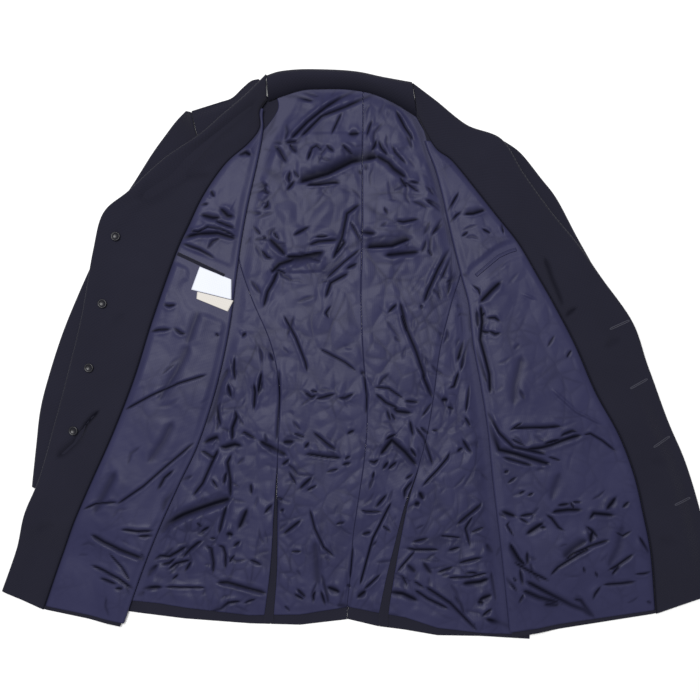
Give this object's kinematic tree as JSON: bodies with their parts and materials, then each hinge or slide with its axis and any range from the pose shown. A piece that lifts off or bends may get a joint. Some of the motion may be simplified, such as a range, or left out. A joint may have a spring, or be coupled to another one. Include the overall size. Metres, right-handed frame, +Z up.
{
  "type": "firefighter dress jacket",
  "caption": "Dark wool dress jacket laid open flat on its back, satin lining up, lapels and collar rolled under and sleeves pressed flat beneath the fronts.",
  "frame": {"origin": "middle of the jacket's outline, on the surface that it lies on", "axes": "+X across the jacket towards the wearer's left front, +Y from the hem to the collar, +Z up from the surface"},
  "size_m": [1.02, 0.8117, 0.0188],
  "materials": {
    "wool": "matte",
    "satin": "satin",
    "label_white": "matte",
    "label_cream": "matte",
    "horn": "gloss"
  },
  "bodies": {
    "root": {"back_centre_right": "wool", "back_centre_left": "wool", "back_side_right": "wool", "back_side_left": "wool", "front_right": "wool", "front_left": "wool", "shoulder_right": "wool", "facing_right": "wool", "facing_left": "wool", "sleeve_right": "wool", "sleeve_left": "wool", "collar": "wool", "vent_facing_right": "wool", "vent_facing_left": "wool", "lining_back_right": "satin", "lining_back_left": "satin", "lining_side_right": "satin", "lining_side_left": "satin", "lining_front_right": "satin", "lining_front_left": "satin", "pocket_welt_right": "wool", "pocket_welt_left": "satin", "label_white": "label_white", "label_cream": "label_cream", "button_back_1": "horn", "button_back_2": "horn", "button_back_3": "horn", "button_back_4": "horn"}
  },
  "joints": []
}
